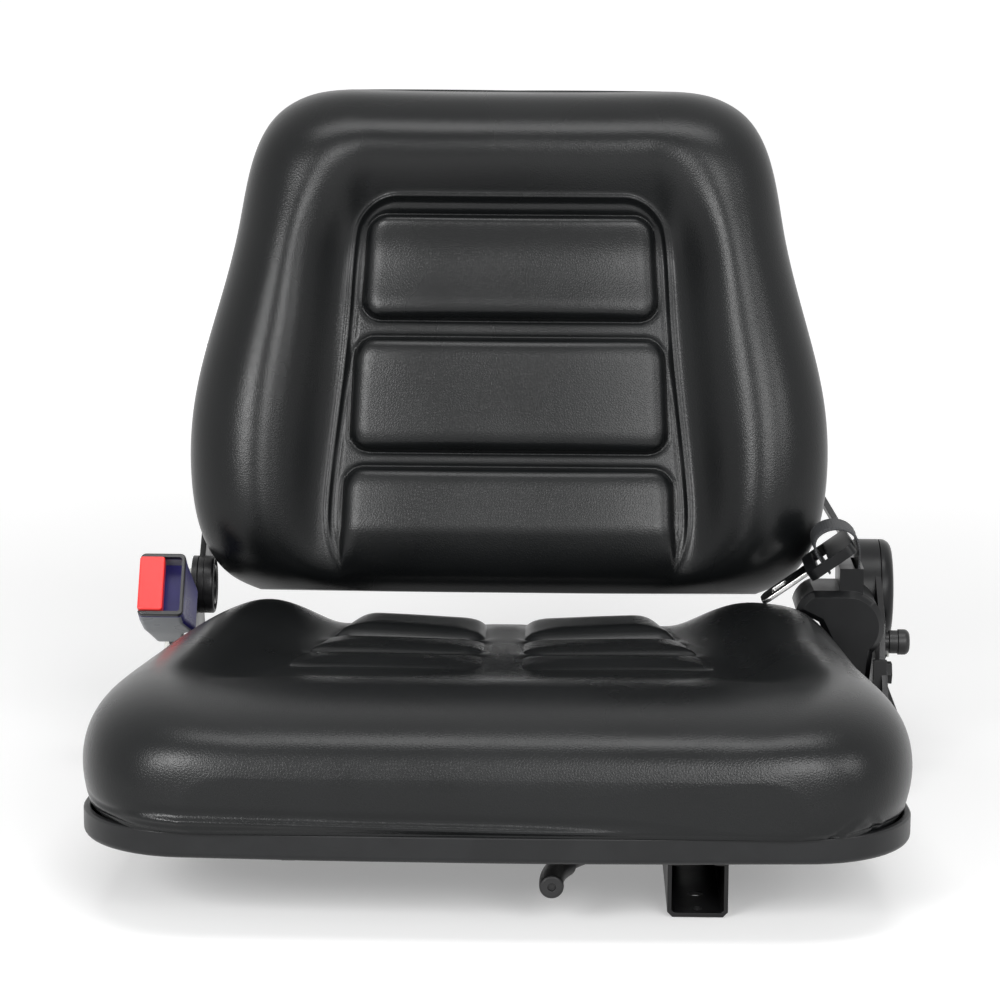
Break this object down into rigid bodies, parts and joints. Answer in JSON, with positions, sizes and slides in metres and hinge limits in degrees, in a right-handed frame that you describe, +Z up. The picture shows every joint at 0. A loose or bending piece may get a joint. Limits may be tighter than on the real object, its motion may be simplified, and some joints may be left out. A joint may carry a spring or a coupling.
{
  "type": "tractor seat",
  "caption": "Black moulded vinyl tractor seat with bolstered back, seat pan on slide rails, recliner lever and retractable lap belt with red-button buckle.",
  "frame": {"origin": "on the floor under the rails, in the seat's middle plane, level with the middle of the right rail's bolt line", "axes": "+X to the right of someone facing the seat, +Y towards the backrest, +Z up"},
  "size_m": [0.5234, 0.54, 0.4584],
  "materials": {
    "vinyl": "black grained vinyl skin over foam, satin",
    "pan_black": "black satin pan with a smooth rim",
    "black_paint": "black paint on steel, semi-gloss",
    "shell_black": "black satin shell",
    "zinc": "zinc plated steel",
    "bright_steel": "bright plated steel",
    "nylon": "black nylon",
    "rubber": "black rubber",
    "cover_black": "black moulded plastic, fine satin",
    "webbing": "black woven webbing",
    "violet": "dark violet-blue gloss plastic",
    "bezel_black": "black plastic bezel",
    "red": "red press button, bare"
  },
  "bodies": {
    "right_rail": {"right_lower_rail": "black_paint"},
    "left_rail": {"left_lower_rail": "black_paint"},
    "slide_lever": {"slide_lever": "black_paint", "slide_lever_grip": "rubber"},
    "backrest": {"backrest_cushion": "vinyl", "backrest_shell": "shell_black", "right_backrest_arm": "black_paint", "left_backrest_arm": "black_paint", "arm_screws": "zinc", "left_hub_ring": "black_paint", "recliner_cap": "cover_black"},
    "recline_lever": {"recline_lever": "black_paint", "recline_knob": "rubber"},
    "buckle": {"buckle_stalk": "black_paint", "buckle_housing": "violet", "buckle_bezel": "bezel_black"},
    "buckle_button": {"buckle_button": "red"},
    "seat": {"right_upper_rail": "black_paint", "left_upper_rail": "black_paint", "rail_glides": "nylon", "seat_pan": "pan_black", "pan_bolts": "zinc", "seat_cushion": "vinyl", "right_side_bracket": "black_paint", "left_side_bracket": "black_paint", "right_pivot_pin": "zinc", "left_pivot_pin": "zinc", "recliner_cup": "cover_black", "pawl_pin": "zinc", "lever_pivot_bolt": "zinc", "retractor_frame": "black_paint", "retractor_cover": "cover_black", "retractor_bolt": "black_paint", "belt_tongue": "bright_steel", "tongue_grip": "cover_black", "belt_webbing": "webbing", "buckle_anchor_bolt": "zinc"}
  },
  "joints": [
    {"name": "seat_slide", "type": "slide", "parent": "right_rail", "child": "seat", "axis": [0, 1, 0], "range_m": [-0.07, 0.035]},
    {"name": "left_rail_slide", "type": "slide", "parent": "seat", "child": "left_rail", "axis": [0, 1, 0], "range_m": [-0.15, 0.005]},
    {"name": "slide_lever_swing", "type": "hinge", "parent": "seat", "child": "slide_lever", "pos_m": [0.08, -0.035, 0.018], "axis": [0, 0, 1], "range_deg": [0, 12], "stiffness_Nm_per_rad": 0.6},
    {"name": "backrest_recline", "type": "hinge", "parent": "seat", "child": "backrest", "pos_m": [0, 0.23, 0.118], "axis": [-1, 0, 0], "range_deg": [-3, 24]},
    {"name": "recline_lever_lift", "type": "hinge", "parent": "seat", "child": "recline_lever", "pos_m": [0.2584, 0.198, 0.084], "axis": [-1, 0, 0], "range_deg": [0, 18], "stiffness_Nm_per_rad": 0.3},
    {"name": "buckle_swing", "type": "hinge", "parent": "seat", "child": "buckle", "pos_m": [-0.2335, 0.25037, 0.06852], "axis": [-1, 0, 0], "range_deg": [-3, 8]},
    {"name": "buckle_press", "type": "slide", "parent": "buckle", "child": "buckle_button", "axis": [0, 0.809, -0.5878], "range_m": [0, 0.006], "stiffness_N_per_m": 500}
  ]
}
